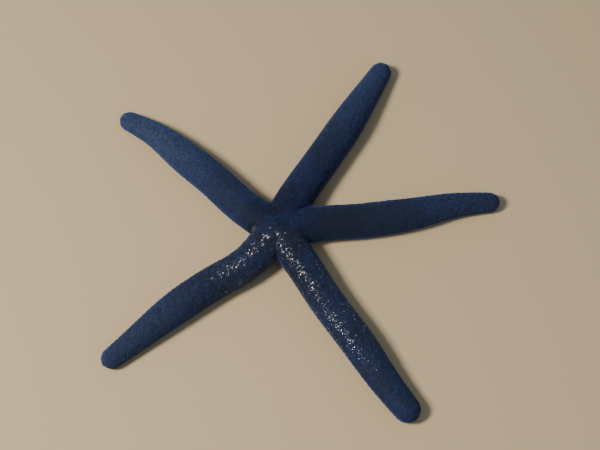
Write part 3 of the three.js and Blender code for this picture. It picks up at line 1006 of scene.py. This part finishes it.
# Walks both sides of every furrow: what each step finds by a ray from a start, along a direction, and
# the way out of the furrow there.
def walkFurrows(shape, dice, startOf, towardOf):
    roots, outs = [], []
    for arm in arms:
        for hand in (-1, 1):
            stagger = furrowWalk["stagger"]
            first = shape["from"] + (stagger + stagger * hand) * shape["step"]
            reaches = np.arange(first, shape["toShare"] * arm["length"], shape["step"])
            reaches = reaches + furrowWalk["wander"] * shape["step"] * dice.uniform(-1, 1, len(reaches))
            bases = np.interp(reaches, arm["reaches"], arm["lows"])
            middles, lefts = lineAlong(arm, reaches, shape.get("aside", 0) * hand)
            for middle, out, base in zip(middles, hand * lefts, bases):
                hit = skinSurface.ray_cast((*middle, startOf(base)), towardOf(out), shape["within"])[0]
                if hit:
                    roots.append(hit[:])
                    outs.append((*out, 0))
    return np.array(roots), np.array(outs)


def makePegs():
    dice = np.random.default_rng(pegShape["seed"])
    roots, outs = walkFurrows(
        pegShape, dice, lambda base: base + pegShape["onWall"], lambda out: (*out, 0))
    ups = -pegShape["inward"] * outs + downwards + pegShape["waver"] * dice.normal(0, 1, roots.shape)
    ups = unitRows(ups)
    lengths = np.minimum(pegShape["length"], (roots[:, 2] - floorGap) / np.abs(ups[:, 2]))
    plantCopies("furrowPegs", pegShape, roots, ups, lengths, dice, pegPaint, "oral_grains")


def makeRimGrains():
    dice = np.random.default_rng(rimShape["seed"])
    roots, outs = walkFurrows(rimShape, dice, lambda base: -rimShape["below"], lambda out: (0, 0, 1))
    ups = rimShape["outward"] * outs + downwards + rimShape["waver"] * dice.normal(0, 1, roots.shape)
    lengths = np.clip(roots[:, 2] - rimGap, rimShape["shortest"], rimShape["length"])
    plantCopies("furrowRims", rimShape, roots, unitRows(ups), lengths, dice, pegPaint, "oral_grains")


def makeTubeFeet():
    dice = np.random.default_rng(footShape["seed"])
    roots, outs = walkFurrows(
        footShape, dice, lambda base: base + footShape["above"], lambda out: (0, 0, 1))
    ups = unitRows(footShape["outward"] * outs + downwards)
    lengths = np.minimum(roots[:, 2] - floorGap, footShape["longest"])
    lengths *= 1 - footShape["shortening"] * dice.random(len(roots))
    plantCopies("tubeFeet", footShape, roots, ups, lengths, dice, footPaint, "tube_feet")


jawShape = {
    "sides": 8, "rings": pegShape["rings"], "crown": 0.08, "radius": 0.34 * mm, "length": 1.25 * mm,
    "step": 0.8 * mm, "seatReach": 5.7 * mm, "clearAngle": 16, "levels": (3.9 * mm, 4.9 * mm),
    "within": 9 * mm, "down": 0.75, "waver": 0.1, "seed": 24,
}


# The five corners of the mouth, between the furrows, with their short blunt spines.
def makeJaws():
    dice = np.random.default_rng(jawShape["seed"])
    bearings = np.sort([wrapAngle(arm["bearings"][0]) for arm in arms])
    halfGaps = np.diff(np.append(bearings, bearings[0] + 2 * math.pi)) / 2
    roots, ups = [], []
    for corner, halfGap in zip(bearings + halfGaps, halfGaps):
        spread = halfGap - math.radians(jawShape["clearAngle"])
        count = int(2 * spread * jawShape["seatReach"] / jawShape["step"]) + 1
        for bearing in corner + np.linspace(-spread, spread, count):
            for level in jawShape["levels"]:
                toward = (math.cos(bearing), math.sin(bearing), 0)
                hit = skinSurface.ray_cast((*starCentre, level), toward, jawShape["within"])[0]
                if hit:
                    roots.append(hit[:])
                    ups.append((-math.cos(corner), -math.sin(corner), -jawShape["down"]))
    roots = np.array(roots)
    ups = unitRows(np.array(ups) + jawShape["waver"] * dice.normal(0, 1, roots.shape))
    lengths = np.full(len(roots), jawShape["length"])
    plantCopies("jawSpines", jawShape, roots, ups, lengths, dice, pegPaint, "oral_grains")


shieldShape = {
    "sides": 16, "rings": ((1.0, -0.5), (0.98, 0.15), (0.78, 0.7), (0.4, 0.95)), "crown": 0.04,
    "radius": 1.15 * mm, "length": 0.42 * mm, "seed": 25,
}
spotShape = {
    "sides": 12, "rings": ((1.0, -0.5), (0.85, 0.5), (0.5, 0.9)), "crown": 0.06,
    "radius": 0.42 * mm, "length": 0.3 * mm, "atShare": 0.972, "below": 1 * mm,
}


# A smooth shield at the tip of each arm, and the red eye spot under it.
def makeTips():
    dice = np.random.default_rng(shieldShape["seed"])
    found = [skinSurface.find_nearest((*place,)) for place in tipPlaces]
    roots, ups = (np.array([hit[i][:] for hit in found]) for i in (0, 1))
    lengths = np.full(len(roots), shieldShape["length"])
    marks = hideMarks(placeOnArms(roots), np.zeros(len(roots)))
    plantCopies("tipShields", shieldShape, roots, ups, lengths, dice, blueHide, "blue_hide", **marks)
    roots = []
    for arm in arms:
        outer = spotShape["atShare"] * arm["length"]
        middle = lineAlong(arm, np.array((outer - 1 * mm, outer)), 0)[0][1]
        roots.append(skinSurface.ray_cast((*middle, -spotShape["below"]), (0, 0, 1))[0][:])
    roots = np.array(roots)
    ups = np.tile(downwards, (len(roots), 1))
    lengths = np.minimum(roots[:, 2] - rimGap, spotShape["length"])
    plantCopies("eyeSpots", spotShape, roots, ups, lengths, dice, spotPaint, "tube_feet")


makePegs()
makeRimGrains()
makeTubeFeet()
makeJaws()
makeTips()
